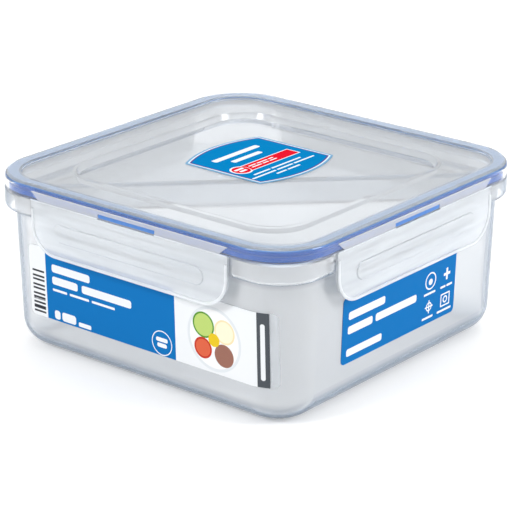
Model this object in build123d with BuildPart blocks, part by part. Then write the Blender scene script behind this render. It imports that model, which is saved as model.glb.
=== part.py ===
"""Square clip-lock food box: a moulded box, a lid with four hinged flaps, a seal and a lift-out corner tray."""

import os
from math import sqrt, tan, radians

from build123d import *

# Lid: a flat panel inside a raised rim, with a shallow recess in the middle
lid_width = 155.0
lid_corner_radius = 23.4
total_height = 72.4
lid_thickness = 1.5
lid_edge_radius = 1.8
skirt_height = 5.4
skirt_wall = 1.4
rim_width = 6.7
rim_step = 1.0
rim_step_chamfer = 0.5
recess_margin = 22.0
recess_corner_radius = 16.0
recess_depth = 2.4
recess_slope = 25.0

# Channel under the lid's rim, which holds the seal
channel_width = 4.2
plug_wall = 1.2
plug_depth = 4.4

# Seal: a soft ring with a leg behind the skirt
seal_thickness = 1.7
seal_play = 0.05
seal_leg_width = 1.5
seal_leg_rise = 0.2
seal_groove_height = 0.6
seal_groove_depth = 0.3

# Flaps: thin plates that hang from the lid's skirt
flap_width = 98.6
flap_drop = 21.8
flap_corner_radius = 12.0
flap_plate = 1.0
flap_border_width = 1.4
flap_border_rise = 0.35
flap_border_start = 3.0
flap_border_chamfer = 0.25
grip_length = 76.0
grip_height = 7.4
grip_rise = 0.45
grip_chamfer = 0.3
bar_proud = 0.4
bar_height = 3.2
bar_chamfer = 0.3
bar_end_slope = 50.0
slot_length = 28.6
slot_height = 1.6

# Hinge film between the bar and each flap
film_radius = 0.25
film_offset = 0.1
film_clearance = 0.08

# Hook along the inside of each flap and the catch rail it closes under
hook_length = 74.0
hook_reach = 0.3
hook_below_rail = 0.6
hook_height = 3.4
hook_flat = 1.2

# Box: drafted walls on a rounded base
base_setback = 6.2
base_corner_radius = 16.6
base_edge_radius = 11.4
wall_draft = 1.92
wall_thickness = 1.9
floor_thickness = 2.0
inner_draft = 1.4

# Sealing rim and its inside ledge for the tray
rim_wall = 1.6
rim_play = 0.5
rim_depth = 7.7
rim_top_chamfer = 0.4

# Outer rail below the lid
rail_setback = 1.0
rail_corner_radius = 19.3
rail_top_gap = 0.4
rail_height = 8.8
rail_bottom_round = 2.4
rail_top_chamfer = 0.8
rail_wall = 1.5
rail_pocket_depth = 1.0
rail_pocket_play = 1.0
rail_web = 1.6

# Corner tray that hangs from the ledge
tray_play = 0.3
tray_lip_thickness = 1.2
tray_lip_width = 1.8
tray_wall = 1.2
tray_depth = 10.6
tray_draft = 4.0
tray_corner_radius = 3.0
tray_floor_round = 2.0
tray_offset = 4.2
tray_notch = 31.0
tray_curb = 3.0
tray_gap_margin = 2.4

# Printed labels
label_thickness = 0.2
label_glue = 0.03
front_label_left_margin = 21.1
front_label_right_margin = 11.5
front_label_height = 29.7
front_label_tuck = 0.7
side_label_start = -39.0
side_label_length = 73.3
side_label_height = 27.2
side_label_gap = 0.8
label_corner_radius = 2.0
sticker_width = 38.6
sticker_length = 46.6
sticker_bulge = 5.6
sticker_x = -8.4
sticker_y = 11.2

# Levels and half widths that follow from the sizes above
skirt_bottom = total_height - skirt_height
rim_under = total_height - lid_thickness
panel_top = total_height - rim_step
panel_under = panel_top - lid_thickness
recess_floor = panel_top - recess_depth
lid_half = lid_width / 2
recess_half = lid_half - recess_margin
channel_outer = lid_half - skirt_wall
channel_inner = channel_outer - channel_width
plug_inner = channel_inner - plug_wall
seal_bottom = rim_under - seal_thickness
rim_inner = channel_inner + rim_play
rim_outer = rim_inner + rim_wall
rail_top = skirt_bottom - rail_top_gap
rail_bottom = rail_top - rail_height
rail_half = lid_half - rail_setback
rail_face = rail_half - rail_pocket_depth
bar_face = lid_half + bar_proud
hinge_out = bar_face + film_offset
hinge_height = skirt_bottom - film_radius
flap_top = hinge_height - film_radius - film_clearance
flap_bottom = skirt_bottom - flap_drop
flap_height = flap_top - flap_bottom
flap_inner = bar_face - flap_plate
hook_top = rail_bottom - hook_below_rail
base_half = lid_half - base_setback
ledge_height = seal_bottom - rim_depth
inside_rise = (ledge_height - floor_thickness) * tan(radians(inner_draft))
ledge_half = base_half - wall_thickness + inside_rise
ledge_radius = base_corner_radius - wall_thickness + inside_rise
tray_top = ledge_height + tray_lip_thickness
tray_floor = tray_top - tray_depth
sides = {"front": 0, "right": 90, "back": 180, "left": 270}

os.makedirs("parts", exist_ok=True)


def square(half_width, corner_radius):
    """A rounded square about the centre, given by its half width."""
    return RectangleRounded(2 * half_width, 2 * half_width, corner_radius)


def lid_square(half_width, mode=Mode.ADD):
    """A rounded square that runs parallel to the lid's edge."""
    corner_radius = lid_corner_radius - (lid_half - half_width)
    return RectangleRounded(2 * half_width, 2 * half_width, corner_radius, mode=mode)


def side_plane(turn, out):
    """A plane that faces outwards on one side: x along the side, y upwards."""
    along = Vector(1, 0, 0).rotate(Axis.Z, turn)
    outward = Vector(0, -1, 0).rotate(Axis.Z, turn)
    return Plane(origin=outward * out, x_dir=along, z_dir=outward)


def face_towards(piece, turn):
    """The face of a piece that lies furthest out on one side."""
    outward = Vector(0, -1, 0).rotate(Axis.Z, turn)
    return piece.faces().sort_by(Axis((0, 0, 0), outward))[-1]


def section_plane(turn, along_side=0.0):
    """A plane that cuts one side across: x outwards, y upwards."""
    along = Vector(1, 0, 0).rotate(Axis.Z, turn)
    outward = Vector(0, -1, 0).rotate(Axis.Z, turn)
    return Plane(origin=along * along_side, x_dir=outward, z_dir=-along)


def box_outside(height, grown=0.0):
    """The drafted outside of the box up to a height, with its rounded base edge."""
    with BuildPart() as outside:
        with BuildSketch(Plane.XY):
            square(base_half + grown, base_corner_radius + grown)
        extrude(amount=height, taper=-wall_draft)
        fillet(outside.faces().sort_by(Axis.Z)[0].edges(), base_edge_radius)
    return outside.part


def box_inside():
    """The space inside the box up to the ledge."""
    with BuildPart() as inside:
        with BuildSketch(Plane.XY.offset(floor_thickness)):
            square(base_half - wall_thickness, base_corner_radius - wall_thickness)
        extrude(amount=ledge_height - floor_thickness, taper=-inner_draft)
        fillet(inside.faces().sort_by(Axis.Z)[0].edges(), base_edge_radius - wall_thickness)
    return inside.part


def rail_block():
    """The outer rail as a full block, round below."""
    with BuildPart() as block:
        with BuildSketch(Plane.XY.offset(rail_bottom)):
            square(rail_half, rail_corner_radius)
        extrude(amount=rail_height)
        fillet(block.faces().sort_by(Axis.Z)[0].edges(), rail_bottom_round)
        chamfer(block.faces().sort_by(Axis.Z)[-1].edges(), rail_top_chamfer)
    return block.part


# Box: drafted shell, sealing rim, and an outer rail with pockets for the flaps
with BuildPart() as container:
    add(box_outside(ledge_height))
    with BuildSketch(Plane.XY.offset(ledge_height - rail_web)):
        lid_square(rim_outer)
    extrude(amount=seal_bottom - ledge_height + rail_web)
    add(rail_block())
    for turn in sides.values():
        with BuildSketch(side_plane(turn, rail_face)):
            with Locations((0, (rail_bottom + rail_top) / 2)):
                Rectangle(flap_width + 2 * rail_pocket_play, 2 * rail_height)
        extrude(amount=2 * rail_pocket_depth, mode=Mode.SUBTRACT)
    with BuildSketch(Plane.XY.offset(rail_bottom)):
        square(rail_half - rail_wall, rail_corner_radius - rail_wall)
        lid_square(rim_outer, mode=Mode.SUBTRACT)
        solid_side = flap_width + 2 * rail_pocket_play + 2 * rail_wall
        Rectangle(solid_side, 4 * rail_half, mode=Mode.SUBTRACT)
        Rectangle(4 * rail_half, solid_side, mode=Mode.SUBTRACT)
    extrude(amount=rail_height - rail_web, mode=Mode.SUBTRACT)
    add(box_inside(), mode=Mode.SUBTRACT)
    with BuildSketch(Plane.XY.offset(ledge_height)):
        lid_square(rim_inner)
    extrude(amount=seal_bottom - ledge_height, mode=Mode.SUBTRACT)
    chamfer(container.faces().sort_by(Axis.Z)[-1].edges(), rim_top_chamfer)

container.part.label = "container"
export_step(container.part, "parts/container.step")

# Lid: rim over a channel, plug ring, panel with its recess, and a hinge bar with a slot on each side
with BuildPart() as lid:
    with BuildSketch(Plane.XY.offset(skirt_bottom)):
        lid_square(lid_half)
    extrude(amount=skirt_height)
    fillet(lid.faces().sort_by(Axis.Z)[-1].edges(), lid_edge_radius)
    with BuildSketch(Plane.XY.offset(skirt_bottom)):
        lid_square(channel_outer)
    extrude(amount=skirt_height - lid_thickness, mode=Mode.SUBTRACT)
    with BuildSketch(Plane.XY.offset(rim_under - plug_depth)):
        lid_square(channel_inner)
        lid_square(plug_inner, mode=Mode.SUBTRACT)
    extrude(amount=plug_depth)
    with BuildSketch(Plane.XY.offset(panel_under)):
        lid_square(channel_inner)
    extrude(amount=lid_thickness)
    recess_spread = recess_depth * tan(radians(recess_slope))
    under_half = recess_half - recess_spread + lid_thickness
    with BuildSketch(Plane.XY.offset(recess_floor - lid_thickness)):
        square(under_half, recess_corner_radius - recess_spread + lid_thickness)
    extrude(amount=recess_depth, taper=-recess_slope)
    with BuildSketch(Plane.XY.offset(panel_top)):
        lid_square(lid_half - rim_width)
    extrude(amount=rim_step, mode=Mode.SUBTRACT)
    chamfer(lid.faces().sort_by(Axis.Z)[-1].inner_wires()[0].edges(), rim_step_chamfer)
    with BuildSketch(Plane.XY.offset(recess_floor)):
        square(recess_half - recess_spread, recess_corner_radius - recess_spread)
    extrude(amount=recess_depth, taper=-recess_slope, mode=Mode.SUBTRACT)
    for turn in sides.values():
        with BuildSketch(side_plane(turn, channel_outer)):
            with Locations((0, skirt_bottom + bar_height / 2)):
                Trapezoid(flap_width, bar_height, 90 + bar_end_slope)
        extrude(amount=bar_face - channel_outer)
        chamfer(face_towards(lid, turn).edges().sort_by(Axis.Z)[-1], bar_chamfer)
        with BuildSketch(side_plane(turn, channel_outer)):
            with Locations((0, skirt_bottom)):
                Rectangle(slot_length, 2 * slot_height)
        extrude(amount=2 * (bar_face - channel_outer), mode=Mode.SUBTRACT)

lid.part.label = "lid"
export_step(lid.part, "parts/lid.step")

# Seal: a flat ring in the top of the channel with a grooved leg down the inside of the skirt
with BuildPart() as seal:
    seal_outer = channel_outer - seal_play
    with BuildSketch(Plane.XY.offset(seal_bottom)):
        lid_square(seal_outer)
        lid_square(channel_inner + seal_play, mode=Mode.SUBTRACT)
    extrude(amount=seal_thickness - seal_play)
    with BuildSketch(Plane.XY.offset(skirt_bottom + seal_leg_rise)):
        lid_square(seal_outer)
        lid_square(seal_outer - seal_leg_width, mode=Mode.SUBTRACT)
    extrude(amount=seal_bottom - skirt_bottom - seal_leg_rise)
    with BuildSketch(Plane.XY.offset(seal_bottom)):
        lid_square(seal_outer)
        lid_square(seal_outer - seal_groove_depth, mode=Mode.SUBTRACT)
    extrude(amount=seal_groove_height, mode=Mode.SUBTRACT)

seal.part.label = "seal"
export_step(seal.part, "parts/seal.step")


def flap_outline(height, inset=0.0):
    """A flap's outline up to a height, round at its lower corners, set in from its edges but not from its top."""
    with BuildSketch(mode=Mode.PRIVATE) as outline:
        with Locations((0, flap_bottom + (height + inset) / 2)):
            Rectangle(flap_width - 2 * inset, height - inset)
        fillet(outline.vertices().group_by(Axis.Y)[0], flap_corner_radius - inset)
    return outline.sketch


# Flaps: one on each side, with a raised border, a grip ridge outside and a hook inside
for side, turn in sides.items():
    with BuildPart() as flap:
        with BuildSketch(side_plane(turn, flap_inner)):
            add(flap_outline(flap_height))
        extrude(amount=flap_plate)
        with BuildSketch(side_plane(turn, bar_face)):
            add(flap_outline(flap_height - flap_border_start))
            add(flap_outline(flap_height - flap_border_start, flap_border_width), mode=Mode.SUBTRACT)
        extrude(amount=flap_border_rise)
        chamfer(face_towards(flap, turn).edges(), flap_border_chamfer)
        with BuildSketch(side_plane(turn, bar_face)):
            with Locations((0, hook_top - hook_flat)):
                SlotOverall(grip_length, grip_height)
        extrude(amount=grip_rise)
        chamfer(face_towards(flap, turn).edges(), grip_chamfer)
        with BuildSketch(section_plane(turn)):
            with BuildLine():
                Polyline(
                    (bar_face - flap_plate / 2, hook_top),
                    (rail_face + hook_reach, hook_top),
                    (rail_face + hook_reach, hook_top - hook_flat),
                    (bar_face - flap_plate / 2, hook_top - hook_height),
                    close=True,
                )
            make_face()
        extrude(amount=hook_length / 2, both=True)
    flap.part.label = f"{side}_flap"
    export_step(flap.part, f"parts/{side}_flap.step")

# Hinge films: a thin strip at either end of each bar, round about the axis of the bar's flap
film_length = (flap_width - slot_length) / 2
for side, turn in sides.items():
    for end, start in {"left": -slot_length / 2, "right": flap_width / 2}.items():
        with BuildPart() as film:
            with BuildSketch(section_plane(turn, start)):
                with Locations((hinge_out, hinge_height)):
                    Circle(film_radius)
                with Locations((hinge_out - film_radius / 2, hinge_height + film_radius / 2)):
                    Rectangle(film_radius, film_radius)
            extrude(amount=film_length)
        film.part.label = f"{side}_hinge_{end}"
        export_step(film.part, f"parts/{side}_hinge_{end}.step")


def tray_outline(half_width, corner_radius, cut_back):
    """The tray's plan: half of a rounded square, cut along the diagonal and across the back corner."""
    reach = lid_width - cut_back - tray_corner_radius
    diagonal = sqrt(0.5) * (reach - tray_offset)
    notch = sqrt(0.5) * reach + ledge_half - tray_notch / 2
    with BuildSketch(mode=Mode.PRIVATE) as outline:
        square(half_width - tray_corner_radius, corner_radius - tray_corner_radius)
        with Locations((diagonal, -diagonal), (-notch, notch)):
            Rectangle(2 * lid_width, 2 * lid_width, rotation=45, mode=Mode.SUBTRACT)
        offset(amount=tray_corner_radius)
    return outline.sketch


def tray_block(inset, bottom, edge_round):
    """A block with the tray's draft up to its top, set in from the box's inside, round below."""
    spread = (tray_top - bottom) * tan(radians(tray_draft))
    with BuildPart() as block:
        with BuildSketch(Plane.XY.offset(bottom)):
            add(tray_outline(ledge_half - inset - spread, ledge_radius - inset - spread, inset + spread))
        extrude(amount=tray_top - bottom, taper=-tray_draft)
        fillet(block.faces().sort_by(Axis.Z)[0].edges(), edge_round)
    return block.part


# Corner tray: half the box's plan, with a lip that rests on the ledge and a low curb across the back corner
with BuildPart() as tray:
    add(tray_block(tray_play, tray_floor - tray_wall, tray_floor_round))
    lip_half = rim_inner - tray_play
    with BuildSketch(Plane.XY.offset(ledge_height)):
        add(tray_outline(lip_half, lid_corner_radius - lid_half + lip_half, tray_wall - tray_lip_width))
    extrude(amount=tray_lip_thickness)
    add(tray_block(tray_play + tray_wall, tray_floor, tray_floor_round - tray_wall), mode=Mode.SUBTRACT)
    with BuildSketch(Plane.XY.offset(tray_floor + tray_curb)):
        gap_middle = ledge_half + (lid_width - tray_gap_margin) * sqrt(0.5) - tray_notch / 2
        with Locations((-gap_middle, gap_middle)):
            Rectangle(2 * lid_width, 2 * lid_width, rotation=45)
    extrude(amount=tray_depth, mode=Mode.SUBTRACT)

tray.part.label = "corner_tray"
export_step(tray.part, "parts/corner_tray.step")


def wall_label(turn, start, end, bottom, top):
    """A printed label that lies on the wall, given by its ends along the side and its heights."""
    with BuildPart() as wrap:
        add(box_outside(ledge_height, label_glue + label_thickness))
        add(box_outside(ledge_height, label_glue), mode=Mode.SUBTRACT)
        with BuildSketch(side_plane(turn, 0)):
            with Locations(((start + end) / 2, (bottom + top) / 2)):
                RectangleRounded(end - start, top - bottom, label_corner_radius)
        extrude(amount=lid_width, mode=Mode.INTERSECT)
    return wrap.part


# Labels: a long one that runs round the front corner, a short one on the right, and one on the lid
with BuildPart() as front_label:
    left = front_label_left_margin - lid_half
    right = lid_half - front_label_right_margin
    top = flap_bottom + front_label_tuck
    add(wall_label(sides["front"], left, right, top - front_label_height, top))

front_label.part.label = "front_label"
export_step(front_label.part, "parts/front_label.step")

with BuildPart() as side_label:
    end = side_label_start + side_label_length
    top = flap_bottom - side_label_gap
    add(wall_label(sides["right"], side_label_start, end, top - side_label_height, top))

side_label.part.label = "side_label"
export_step(side_label.part, "parts/side_label.step")

with BuildPart() as lid_sticker:
    left = sticker_x - sticker_width / 2
    right = sticker_x + sticker_width / 2
    near = sticker_y - sticker_length / 2
    far = sticker_y + sticker_length / 2
    with BuildSketch(Plane.XY.offset(recess_floor + label_glue)):
        with BuildLine():
            Line((left, near), (right, near))
            ThreePointArc((right, near), (right + sticker_bulge, sticker_y), (right, far))
            Line((right, far), (left, far))
            ThreePointArc((left, far), (left - sticker_bulge, sticker_y), (left, near))
        make_face()
    extrude(amount=label_thickness)

lid_sticker.part.label = "lid_sticker"
export_step(lid_sticker.part, "parts/lid_sticker.step")
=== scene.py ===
"""Square clip-down food box of frosted clear plastic, with a blue seal, on a pale floor."""

import math

import bmesh
import bpy
from mathutils import Matrix, Vector


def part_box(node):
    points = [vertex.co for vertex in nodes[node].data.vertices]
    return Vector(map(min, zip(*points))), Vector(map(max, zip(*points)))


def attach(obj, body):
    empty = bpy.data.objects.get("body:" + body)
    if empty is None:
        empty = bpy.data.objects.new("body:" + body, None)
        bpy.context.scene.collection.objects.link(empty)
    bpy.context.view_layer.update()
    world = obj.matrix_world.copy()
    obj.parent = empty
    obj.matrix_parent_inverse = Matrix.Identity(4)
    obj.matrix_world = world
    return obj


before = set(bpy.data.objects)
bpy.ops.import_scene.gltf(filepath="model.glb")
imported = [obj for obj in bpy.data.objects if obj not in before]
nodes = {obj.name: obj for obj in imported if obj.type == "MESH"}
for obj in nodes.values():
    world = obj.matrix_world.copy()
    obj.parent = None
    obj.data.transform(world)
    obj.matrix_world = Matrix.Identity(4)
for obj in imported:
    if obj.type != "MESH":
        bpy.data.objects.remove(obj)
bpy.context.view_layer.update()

# Colours as they look in daylight, red, green and blue from 0 to 255
LABEL_BLUE = (20, 115, 186)
LABEL_WHITE = (240, 243, 246)
LABEL_GREY = (84, 89, 95)
LABEL_FILM = (252, 253, 254)
STRIPE_GREY = (58, 60, 66)
STICKER_BLUE = (0, 128, 191)
STICKER_PURPLE = (92, 45, 130)
STICKER_RED = (226, 20, 44)
STICKER_EDGE = (120, 170, 208)
STICKER_LINE = (224, 238, 246)
SEAL_BLUE = (2, 100, 194)
# Painted light: the pale colour of the seal's upward faces
SEAL_LIT_TOP = (146, 184, 224)
# Painted light: the tabs' paler blues, a lit copy of the seal's blue
TAB_LIT_DARK = (76, 124, 196)
TAB_LIT_LIGHT = (94, 140, 206)
# Painted refraction: the seal's blue, painted onto the lid's rounded edge
PAINTED_SEAL_BLUE = (104, 148, 213)
RIM_TINT = (230, 239, 249)
# Painted shade: the colours of the box's outline, of its base band and of its lowest line
OUTLINE_SHADE = (122, 146, 174)
BASE_SHADE = (120, 146, 172)
BASE_LINE_SHADE = (80, 104, 132)
# Painted shade: the colour of the tray's lip
LIP_SHADE = (106, 140, 174)

# Where the plastics change, in metres. A pair is where a gradual change starts and ends.
BOX_SQUARE = 0.0547  # half the square through the middles of the box's corners
BASE_ROUND_OUT = 0.0052  # from that square out to the middle of the base edge's round
BASE_ROUND_UP = 0.0114  # from the ground up to it
SKIN_PARTING = 0.01045  # from there out to the middle of the wall, at the ground
SKIN_LEAN = 0.029  # how much further out that is, for each metre of height
RAIL_FOOT = (0.055, 0.058)
OFF_FLAT = (0.0, 0.003)
# The next two pairs are the heights over which the painted shade along the base, and its darker
# lowest line, fade out
SHADED_BASE_BAND = (0.001, 0.0095)
SHADED_BASE_LINE = (0.0009, 0.0018)
TRAY_LIP = 0.0013
FLAP_FACE = 0.07797  # from the box's middle, and a flap's raised border lies beyond it
GRIP_HALF_LENGTH = 0.038
GRIP_MIDDLE = 0.056
GRIP_HALF_HEIGHT = 0.0037
LID_SQUARE = 0.0541  # half the square from which the lid's zones are measured outwards
SLOPE_END = 0.004
RIM_MIDDLE = 0.0199
RIM_HALF_WIDTH = 0.0034
ROUND_START = 0.0218
ROUND_BOTTOM = 0.071
BAR_START = 0.02345

# The pieces made here, in metres
TAB_SIZE = (0.0283, 0.0012, 0.00145)
TAB_PLACE = (0, -0.07725, 0.067775)
TAB_END_ROUND = 0.0006
TAB_FACE_ROUND = 0.0001
FLOOR_HALF_WIDTH = 3.0
FLOOR_PLACE = (0, 0, -0.0004)

UP = (0, 0, 1)
PLASTIC_IOR = 1.49


def colour(rgb):
    """A shader colour from a daylight colour."""
    steps = [value / 255 for value in rgb]
    linear = [
        value / 12.92 if value < 0.04 else ((value + 0.055) / 1.055) ** 2.4
        for value in steps
    ]
    return (*linear, 1.0)


class Shading:
    """A shader tree with short ways to add its nodes."""

    def __init__(self, tree):
        self.tree = tree

    def add(self, kind, **settings):
        node = self.tree.nodes.new(kind)
        for name, value in settings.items():
            setattr(node, name, value)
        return node

    def join(self, value, socket):
        """Link a value that varies, or set one that is the same everywhere."""
        if isinstance(value, bpy.types.NodeSocket):
            self.tree.links.new(value, socket)
        else:
            socket.default_value = value

    def maths(self, operation, *values):
        node = self.add("ShaderNodeMath", operation=operation)
        for value, socket in zip(values, node.inputs):
            self.join(value, socket)
        return node.outputs["Value"]

    def plus(self, first, second):
        return self.maths("ADD", first, second)

    def minus(self, first, second):
        return self.maths("SUBTRACT", first, second)

    def times(self, first, second):
        return self.maths("MULTIPLY", first, second)

    def above(self, value, limit):
        return self.maths("GREATER_THAN", value, limit)

    def below(self, value, limit):
        return self.maths("LESS_THAN", value, limit)

    def vector(self, operation, *values):
        node = self.add("ShaderNodeVectorMath", operation=operation)
        for value, socket in zip(values, node.inputs):
            self.join(value, socket)
        return node.outputs["Value" if operation in ("LENGTH", "DOT_PRODUCT") else "Vector"]

    def spread(self, value, low, high, to_low, to_high):
        """Turn the range from low to high into the range from to_low to to_high."""
        node = self.add("ShaderNodeMapRange")
        names = ("Value", "From Min", "From Max", "To Min", "To Max")
        for name, number in zip(names, (value, low, high, to_low, to_high)):
            self.join(number, node.inputs[name])
        return node.outputs["Result"]

    def mix(self, share, first, second):
        node = self.add("ShaderNodeMix", data_type="RGBA")
        self.join(share, node.inputs["Factor"])
        self.join(first, node.inputs["A"])
        self.join(second, node.inputs["B"])
        return node.outputs["Result"]

    def seen_by(self, *rays):
        """1 for rays of these kinds, and 0 for all others."""
        path = self.add("ShaderNodeLightPath")
        seen = path.outputs[f"Is {rays[0]} Ray"]
        for ray in rays[1:]:
            seen = self.maths("MAXIMUM", seen, path.outputs[f"Is {ray} Ray"])
        return seen


class Finish(Shading):
    """A material whose pattern keeps its place on the object."""

    def __init__(self, name):
        self.material = bpy.data.materials.new(name)
        self.material.use_nodes = True
        super().__init__(self.material.node_tree)
        self.shader = self.tree.nodes["Principled BSDF"]
        self.place = self.add("ShaderNodeTexCoord").outputs["Object"]

    def set(self, **values):
        """Set the shader's inputs, with _ for the spaces in their names."""
        for name, value in values.items():
            self.join(value, self.shader.inputs[name.replace("_", " ")])

    def noise(self, scale, detail=3.0, stretch=None):
        place = self.vector("MULTIPLY", self.place, stretch) if stretch else self.place
        node = self.add("ShaderNodeTexNoise")
        self.join(place, node.inputs["Vector"])
        node.inputs["Scale"].default_value = scale
        node.inputs["Detail"].default_value = detail
        return node.outputs["Fac"]

    def relief(self, height, strength, distance):
        node = self.add("ShaderNodeBump")
        node.inputs["Strength"].default_value = strength
        node.inputs["Distance"].default_value = distance
        self.join(height, node.inputs["Height"])
        self.set(Normal=node.outputs["Normal"])

    def facing_up(self):
        """How far the surface faces up, from -1 to 1."""
        normal = self.add("ShaderNodeNewGeometry").outputs["Normal"]
        return self.vector("DOT_PRODUCT", normal, UP)


class ClearPlastic(Finish):
    """Clear moulded plastic with a haze and faint flow waves, tinted darker where it is seen edge
    on: partly its own tint through the longer path, and partly painted shade.
    """

    def __init__(self, name, rgb, tint, roughness, waviness=0.03):
        super().__init__(name)
        self.haze = self.spread(self.noise(60), 0.35, 0.65, *roughness)
        edge_on = self.add("ShaderNodeLayerWeight")
        edge_on.inputs["Blend"].default_value = 0.35
        self.edge_on = edge_on.outputs["Facing"]
        # Painted shade, in part: the colour darkens towards the edge colour where the plastic is
        # seen edge on
        at_edge = self.spread(self.edge_on, 0.3, 0.9, 0.0, 1.0)
        self.body = self.mix(at_edge, colour(rgb), colour(tint))
        self.set(Roughness=self.haze, Base_Color=self.body, IOR=PLASTIC_IOR)
        self.relief(self.noise(35, detail=2.0), strength=waviness, distance=0.0004)
        self.height = self.vector("DOT_PRODUCT", self.place, UP)

    def past_square(self, half):
        """How far out a point lies from an upright square, measured round its corners."""
        beyond = self.vector("SUBTRACT", self.vector("ABSOLUTE", self.place), (half, half, 1))
        beyond = self.vector("MAXIMUM", beyond, (0, 0, 0))
        return self.vector("LENGTH", self.vector("MULTIPLY", beyond, (1, 1, 0)))


class Print(Finish):
    """A printed film whose marks are placed in millimetres, across and up."""

    def __init__(self, name, across, up, ground, ior=1.2):
        super().__init__(name)
        flat = self.add("ShaderNodeCombineXYZ")
        for direction, socket in zip((across, up), flat.inputs):
            self.join(self.vector("DOT_PRODUCT", self.place, direction), socket)
        self.point = flat.outputs["Vector"]
        self.ink = colour(ground)
        roughness = self.spread(self.noise(220), 0.3, 0.7, 0.42, 0.5)
        self.set(Roughness=roughness, Specular_IOR_Level=0.15, IOR=ior)

    def bar(self, left, right, low, high, corner=0.0):
        """A mask that is 1 inside a bar with round corners."""
        middle = ((left + right) / 2, (low + high) / 2, 0)
        reach = ((right - left) / 2 - corner, (high - low) / 2 - corner, -1)
        away = self.vector("ABSOLUTE", self.vector("SUBTRACT", self.point, middle))
        away = self.vector("MAXIMUM", self.vector("SUBTRACT", away, reach), (0, 0, 0))
        away = self.vector("LENGTH", self.vector("MULTIPLY", away, (1, 1, 0)))
        return self.below(away, corner + 0.001)

    def disc(self, across, up, radius):
        away = self.vector("SUBTRACT", self.point, (across, up, 0))
        return self.below(self.vector("LENGTH", away), radius)

    def ring(self, across, up, outer, inner):
        return self.minus(self.disc(across, up, outer), self.disc(across, up, inner))

    def dashes(self, *rows):
        """Rows of plain bars: left end, low side, height, the bars' lengths, the gap."""
        masks = []
        for left, low, height, lengths, gap in rows:
            for length in lengths:
                masks.append(self.bar(left, left + length, low, low + height, height * 0.3))
                left += length + gap
        return masks

    def paint(self, rgb, *masks):
        """Lay a colour over the ink where any of the masks is 1."""
        whole = masks[0]
        for mask in masks[1:]:
            whole = self.maths("MAXIMUM", whole, mask)
        self.ink = self.mix(whole, self.ink, colour(rgb))
        self.set(Base_Color=self.ink)


box = ClearPlastic("frosted_box_plastic", (251, 253, 255), (222, 232, 244), (0.08, 0.14))
tray = ClearPlastic("frosted_tray_plastic", (248, 251, 254), (224, 234, 246), (0.06, 0.1))
lid = ClearPlastic("frosted_lid_plastic", (249, 252, 255), (240, 245, 252), (0.03, 0.06), 0.012)
flap = ClearPlastic("frosted_flap_plastic", (247, 251, 255), (238, 244, 252), (0.07, 0.12), 0.015)

# The box's outer skin is milkier than its inner skin, and less so on the rail. The two are told
# apart by how far they lie from the middle of the base edge's round, or from the upright above it.
past_flat = box.minus(box.past_square(BOX_SQUARE), BASE_ROUND_OUT)
past_flat = box.maths("MAXIMUM", past_flat, 0.0)
drop = box.maths("MINIMUM", box.minus(box.height, BASE_ROUND_UP), 0.0)
from_round = box.add("ShaderNodeCombineXYZ")
box.join(past_flat, from_round.inputs["X"])
box.join(drop, from_round.inputs["Y"])
parting = box.maths("MULTIPLY_ADD", box.height, SKIN_LEAN, SKIN_PARTING)
outer_skin = box.above(box.vector("LENGTH", from_round.outputs["Vector"]), parting)
outer_skin = box.times(outer_skin, box.spread(box.height, *RAIL_FOOT, 1.0, 0.6))
box.set(Transmission_Weight=box.spread(outer_skin, 0, 1, 0.92, 0.6))

# Painted shade: the box is painted grey-blue round its outline, where it is seen edge on, and at
# the thick edge of its base, most so at its lowest line, standing for darker surroundings seen
# through these edges.
painted_outline_shade = box.spread(box.edge_on, 0.36, 0.56, 0.0, 0.85)
tinted = box.mix(painted_outline_shade, box.body, colour(OUTLINE_SHADE))
off_flat = box.spread(past_flat, *OFF_FLAT, 0.0, 1.0)
painted_base_shade = box.times(off_flat, box.spread(box.height, *SHADED_BASE_BAND, 0.74, 0.0))
tinted = box.mix(painted_base_shade, tinted, colour(BASE_SHADE))
painted_base_line_shade = box.times(off_flat, box.spread(box.height, *SHADED_BASE_LINE, 0.85, 0.0))
box.set(Base_Color=box.mix(painted_base_line_shade, tinted, colour(BASE_LINE_SHADE)))

# The tray's lip is painted darker and less clear than its walls: painted shade for the dark lines
# that its edges show.
shaded_tray_lip = tray.above(tray.height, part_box("corner_tray")[1].z - TRAY_LIP)
tray.set(
    Base_Color=tray.mix(shaded_tray_lip, tray.body, colour(LIP_SHADE)),
    Transmission_Weight=tray.spread(shaded_tray_lip, 0, 1, 0.94, 0.1),
)

# Faint flow streaks run along the flaps. Their raised borders are milkier, but not their grips.
from_middle = flap.vector("ABSOLUTE", flap.place)
reaches = [flap.vector("DOT_PRODUCT", from_middle, axis) for axis in ((1, 0, 0), (0, 1, 0))]
proud = flap.above(flap.maths("MAXIMUM", *reaches), FLAP_FACE)
on_grip = flap.times(
    flap.below(flap.maths("MINIMUM", *reaches), GRIP_HALF_LENGTH),
    flap.maths("COMPARE", flap.height, GRIP_MIDDLE, GRIP_HALF_HEIGHT),
)
border = flap.times(proud, flap.minus(1.0, on_grip))
streaks = flap.noise(30, detail=1.0, stretch=(1, 1, 9))
clearness = flap.spread(streaks, 0.35, 0.65, 0.62, 0.54)
flap.set(Transmission_Weight=flap.minus(clearness, flap.times(border, 0.25)))

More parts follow.
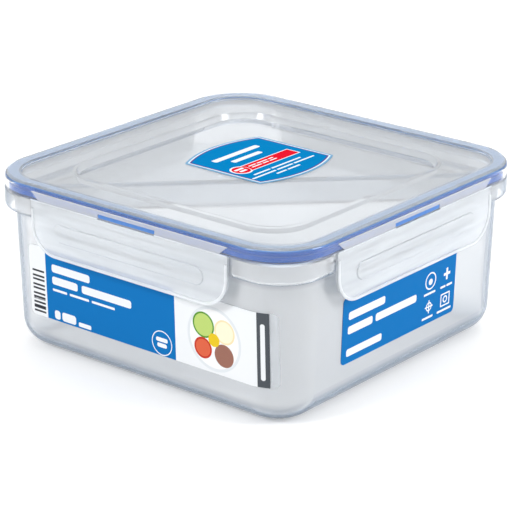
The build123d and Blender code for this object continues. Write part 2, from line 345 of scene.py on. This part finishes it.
# The lid's panel is milky, its recess's slopes more so, its skirt clear, and its proud bars hazy.
# The lower part of the rim's rounded edge is painted in the seal's blue and made milkier: a
# painted refraction of the seal seen through it, as through a lens.
outwards = lid.past_square(LID_SQUARE)
upward = lid.maths("ABSOLUTE", lid.facing_up())
on_bar = lid.above(outwards, BAR_START)
on_slope = lid.times(lid.below(upward, 0.6), lid.below(outwards, SLOPE_END))
painted_blue_round = lid.times(lid.above(outwards, ROUND_START), lid.above(lid.height, ROUND_BOTTOM))
painted_blue_round = lid.times(painted_blue_round, lid.below(upward, 0.62))
on_rim = lid.maths("COMPARE", outwards, RIM_MIDDLE, RIM_HALF_WIDTH)
clearness = lid.spread(upward, 0.3, 0.9, 0.98, 0.8)
for zone, milkiness in ((on_bar, 0.4), (on_slope, 0.4), (painted_blue_round, 0.45)):
    clearness = lid.minus(clearness, lid.times(zone, milkiness))
tinted = lid.mix(on_rim, lid.body, colour(RIM_TINT))
lid.set(
    Base_Color=lid.mix(painted_blue_round, tinted, colour(PAINTED_SEAL_BLUE)),
    Roughness=lid.plus(lid.haze, lid.times(on_slope, 0.12)),
    Transmission_Weight=clearness,
)

# The seal's top, pressed against the rim, is painted pale: painted light on its upward faces.
seal = Finish("blue_seal_rubber")
lit_top = seal.above(seal.facing_up(), 0.5)
seal.set(
    Base_Color=seal.mix(lit_top, colour(SEAL_BLUE), colour(SEAL_LIT_TOP)),
    Roughness=seal.spread(seal.noise(400), 0.3, 0.7, 0.35, 0.5),
    Specular_IOR_Level=0.1,
)
seal.relief(seal.noise(700), strength=0.1, distance=0.0001)

# The seal's tabs, close behind the slots that they fill, are painted in a paler copy of the seal's
# blue, with a blotchy tone: painted light.
lit_tab_rubber = Finish("blue_tab_rubber")
lit_tab_rubber.set(
    Base_Color=lit_tab_rubber.mix(lit_tab_rubber.noise(300), colour(TAB_LIT_DARK), colour(TAB_LIT_LIGHT)),
    Roughness=0.45,
    Specular_IOR_Level=0.15,
)

# The long label: striped strip, blue field with bars, plate with spots, grey band, clear end
long_label = Print("front_label_print", (1000, 0, 0), (0, 0, 1000), LABEL_WHITE)
up_label = long_label.vector("DOT_PRODUCT", long_label.point, (0, 1, 0))
waves = [long_label.maths("PINGPONG", up_label, width) for width in (0.62, 0.95)]
stripes = long_label.above(long_label.plus(*waves), 0.76)
stripes = long_label.times(stripes, long_label.bar(-54.9, -48.6, 17.4, 35.8))
long_label.paint(STRIPE_GREY, stripes)
long_label.paint(LABEL_BLUE, long_label.bar(-47.6, 19.3, 10, 50))
long_label.paint(
    LABEL_WHITE,
    *long_label.dashes(
        (-44.3, 36.6, 3.3, [20.2], 0),
        (-44.3, 31.5, 3.3, [13.6, 25.8], 2.2),
        (-44.2, 28.7, 1.0, [7.6, 10.2, 12.0], 1.5),
        (-43.8, 16.9, 3.7, [3.0, 7.4], 1.0),
        (-31.0, 16.9, 1.8, [6.6], 0),
    ),
    long_label.ring(12.4, 21.4, 5.1, 4.7),
    long_label.bar(9.5, 15.3, 21.9, 23.6, 0.7),
    long_label.bar(10.0, 14.8, 19.6, 21.3, 0.7),
)
for across, up, radius, rgb in (
    (38.5, 30.0, 13.0, (226, 231, 235)),
    (38.5, 30.0, 11.8, (246, 247, 248)),
    (33.4, 34.6, 5.2, (92, 150, 58)),
    (33.4, 34.6, 4.5, (190, 214, 120)),
    (43.6, 34.0, 4.9, (245, 226, 178)),
    (43.6, 34.0, 4.2, (252, 243, 214)),
    (33.0, 25.2, 4.3, (196, 62, 48)),
    (33.0, 25.2, 3.5, (222, 104, 74)),
    (43.2, 24.4, 4.6, (156, 110, 96)),
    (38.4, 29.6, 2.7, (232, 198, 44)),
):
    long_label.paint(rgb, long_label.disc(across, up, radius))
long_label.paint(LABEL_GREY, long_label.bar(58.6, 70.0, 10, 50))
clear_end = long_label.bar(63.2, 70.0, 10, 50)
long_label.paint(LABEL_FILM, clear_end)
long_label.set(Transmission_Weight=clear_end)
long_label.paint(LABEL_WHITE, long_label.bar(60.0, 61.7, 19.0, 41.6, 0.8))

# The short label: blue, with bars and four small signs
short_label = Print("side_label_print", (0, 1000, 0), (0, 0, 1000), LABEL_BLUE)
short_label.paint(
    LABEL_WHITE,
    *short_label.dashes(
        (-35.4, 34.8, 3.2, [22.8], 0),
        (-35.6, 29.0, 3.2, [15.4, 26.4], 2.0),
        (-36.0, 20.0, 3.0, [22.2], 0),
        (13.3, 29.4, 0.9, [7.6], 0),
        (24.4, 29.4, 0.9, [3.4, 3.8], 0.7),
        (12.8, 19.3, 0.9, [7.2], 0),
        (22.9, 19.3, 0.9, [9.4], 0),
    ),
    short_label.ring(17.4, 35.0, 3.6, 3.0),
    short_label.disc(17.4, 34.6, 1.3),
    short_label.bar(26.2, 30.6, 34.3, 35.5, 0.4),
    short_label.bar(27.8, 29.0, 32.4, 37.4, 0.4),
    short_label.bar(14.4, 19.6, 23.9, 24.5, 0.3),
    short_label.bar(16.7, 17.3, 21.4, 27.0, 0.3),
    short_label.ring(17.0, 24.2, 1.9, 1.4),
    short_label.minus(
        short_label.bar(24.9, 31.1, 21.4, 26.9, 0.4),
        short_label.bar(25.5, 30.5, 22.0, 26.3, 0.3),
    ),
    short_label.ring(28.0, 24.2, 1.5, 0.9),
)

# The lid's label: bowed sides, a light line round its edge, a plain red badge, and bars
sticker = Print("lid_label_print", (0, 1000, 0), (-1000, 0, 0), STICKER_EDGE, ior=1.05)
bow_radius = 51.27
sticker_low, sticker_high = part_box("lid_sticker")
middle_x, middle_y, _ = (sticker_low + sticker_high) * 500
half_x, half_y, _ = (sticker_high - sticker_low) * 500
from_bows = []
for bow_middle in (bow_radius - half_x, half_x - bow_radius):
    away = sticker.vector("SUBTRACT", sticker.point, (middle_y, bow_middle - middle_x, 0))
    from_bows.append(sticker.vector("LENGTH", away))
past_bows = sticker.minus(sticker.maths("MAXIMUM", *from_bows), bow_radius)
along = sticker.vector("DOT_PRODUCT", sticker.point, (1, 0, 0))
past_ends = sticker.minus(sticker.maths("ABSOLUTE", sticker.minus(along, middle_y)), half_y)
past_edge = sticker.maths("MAXIMUM", past_bows, past_ends)
for inset, rgb in ((0.8, STICKER_LINE), (1.5, STICKER_PURPLE), (2.1, STICKER_BLUE)):
    sticker.paint(rgb, sticker.below(past_edge, -inset))
sticker.paint(LABEL_WHITE, sticker.bar(-4.2, 29.0, 1.4, 8.6, 0.2), sticker.disc(-4.2, 5.2, 4.7))
sticker.paint(STICKER_RED, sticker.bar(-4.2, 28.5, 1.9, 8.1, 0.1), sticker.disc(-4.2, 5.2, 4.2))
sticker.paint(
    LABEL_WHITE,
    *sticker.dashes(
        (-6.8, 5.7, 1.4, [5.2], 0),
        (-6.2, 3.4, 1.4, [4.0], 0),
        (1.4, 5.6, 0.8, [4.4, 6.4, 3.0], 0.8),
        (1.4, 3.8, 0.8, [6.0, 3.6, 4.4], 0.8),
        (-3.4, 18.8, 3.0, [28.0], 0),
        (1.4, 13.0, 2.6, [17.8], 0),
        (-5.5, -3.0, 1.0, [10.0, 18.5], 0.9),
        (-9.8, -5.8, 1.0, [14.5, 9.8, 12.8], 0.9),
        (1.6, -8.8, 1.0, [6.2, 7.6], 0.9),
    ),
    sticker.ring(-4.2, 5.2, 4.2, 3.9),
)

# The webs have the flaps' plastic
finishes = {
    "container": box,
    "corner_tray": tray,
    "lid": lid,
    "seal": seal,
    "front_label": long_label,
    "side_label": short_label,
    "lid_sticker": sticker,
}
for name, node in nodes.items():
    node.data.materials.clear()
    node.data.materials.append(finishes.get(name, flap).material)


def round_off(tab, edges, radius, segments):
    bmesh.ops.bevel(
        tab, geom=edges, offset=radius, segments=segments,
        profile=0.5, affect="EDGES", material=-1,
    )


def seal_tab(name, angle):
    """The round-ended stretch of the seal that fills the slot in one hinge bar."""
    tab = bmesh.new()
    bmesh.ops.create_cube(tab, size=1.0, matrix=Matrix.Diagonal((*TAB_SIZE, 1)))
    half_depth = TAB_SIZE[1] / 2
    through = [
        edge for edge in tab.edges
        if abs(edge.verts[0].co.y - edge.verts[1].co.y) > half_depth
    ]
    round_off(tab, through, TAB_END_ROUND, segments=6)
    face = [edge for edge in tab.edges if max(vert.co.y for vert in edge.verts) < -half_depth / 2]
    round_off(tab, face, TAB_FACE_ROUND, segments=2)
    in_slot = Matrix.Rotation(angle, 4, "Z") @ Matrix.Translation(TAB_PLACE)
    bmesh.ops.transform(tab, matrix=in_slot, verts=tab.verts)
    mesh = bpy.data.meshes.new(name)
    tab.to_mesh(mesh)
    tab.free()
    mesh.materials.append(lit_tab_rubber.material)
    piece = bpy.data.objects.new(name, mesh)
    bpy.context.scene.collection.objects.link(piece)
    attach(piece, "lid_body")


for quarter, side_name in enumerate(("front", "right", "back", "left")):
    seal_tab(f"{side_name}_seal_tab", quarter * math.pi / 2)

# Pale floor, just below the box. It shows white, also far off and through the plastic.
floor_finish = Finish("pale_floor")
from_box = floor_finish.vector("LENGTH", floor_finish.place)
glow = floor_finish.times(
    floor_finish.seen_by("Camera", "Glossy"),
    floor_finish.spread(from_box, 0.25, 1.2, 0.32, 0.56),
)
glow_through = floor_finish.times(floor_finish.seen_by("Transmission"), 0.5)
floor_finish.set(
    Base_Color=(0.88, 0.88, 0.88, 1),
    Roughness=0.7,
    Emission_Color=(1, 1, 1, 1),
    Emission_Strength=floor_finish.maths("MAXIMUM", glow, glow_through),
)
sheet = bmesh.new()
bmesh.ops.create_grid(
    sheet, x_segments=1, y_segments=1,
    size=FLOOR_HALF_WIDTH, matrix=Matrix.Translation(FLOOR_PLACE),
)
floor_mesh = bpy.data.meshes.new("studio_floor")
sheet.to_mesh(floor_mesh)
sheet.free()
floor_mesh.materials.append(floor_finish.material)
floor = bpy.data.objects.new("studio_floor", floor_mesh)
bpy.context.scene.collection.objects.link(floor)

# White surroundings, which light the box less than they show
world = bpy.data.worlds.new("studio")
world.use_nodes = True
sky = Shading(world.node_tree)
shown = sky.seen_by("Camera", "Transmission", "Glossy")
surroundings = sky.tree.nodes["Background"]
sky.join((1, 1, 1, 1), surroundings.inputs["Color"])
sky.join(sky.spread(shown, 0, 1, 0.55, 1.0), surroundings.inputs["Strength"])
bpy.context.scene.world = world

# Square soft lamps that face the box: name, place, width, power
lamp_aim = Vector((0, 0, 0.03))
for name, place, width, power in (
    ("left_lamp", (-0.29, -1.06, 0.75), 0.35, 7),
    ("right_lamp", (1.07, 0.41, 0.6), 0.4, 7.5),
    ("top_lamp", (-0.1, 0.4, 1.2), 1.0, 3.6),
):
    light = bpy.data.lights.new(name, "AREA")
    light.size = width
    light.energy = power
    lamp = bpy.data.objects.new(name, light)
    lamp.location = place
    lamp.rotation_euler = (lamp_aim - Vector(place)).to_track_quat("-Z", "Y").to_euler()
    bpy.context.scene.collection.objects.link(lamp)

# Camera: its turn, height angle, distance and lens put the box where the photograph has it
turn = math.radians(39.214)
rise = math.radians(20.382)
roll = math.radians(0.229)
distance = 0.92871
target = Vector((0, 0, 0.035))
picture_pixels = 512
focal_pixels = 2310.83
middle_across = 257.77 - picture_pixels / 2
middle_down = 251.09 - picture_pixels / 2
back = Vector((
    math.sin(turn) * math.cos(rise),
    -math.cos(turn) * math.cos(rise),
    math.sin(rise),
))
side = (-back).cross(Vector(UP)).normalized()
upright = side.cross(-back)
right = math.cos(roll) * side + math.sin(roll) * upright
above = math.cos(roll) * upright - math.sin(roll) * side
camera_data = bpy.data.cameras.new("camera")
camera_data.sensor_width = 36
camera_data.lens = camera_data.sensor_width * focal_pixels / picture_pixels
camera_data.shift_x = -middle_across / picture_pixels
camera_data.shift_y = middle_down / picture_pixels
camera_data.clip_start = 0.01
camera = bpy.data.objects.new("camera", camera_data)
axes = Matrix((right, above, back)).transposed().to_4x4()
camera.matrix_world = Matrix.Translation(target + back * distance) @ axes
bpy.context.scene.collection.objects.link(camera)
bpy.context.scene.camera = camera

bpy.context.scene.view_settings.view_transform = "Standard"
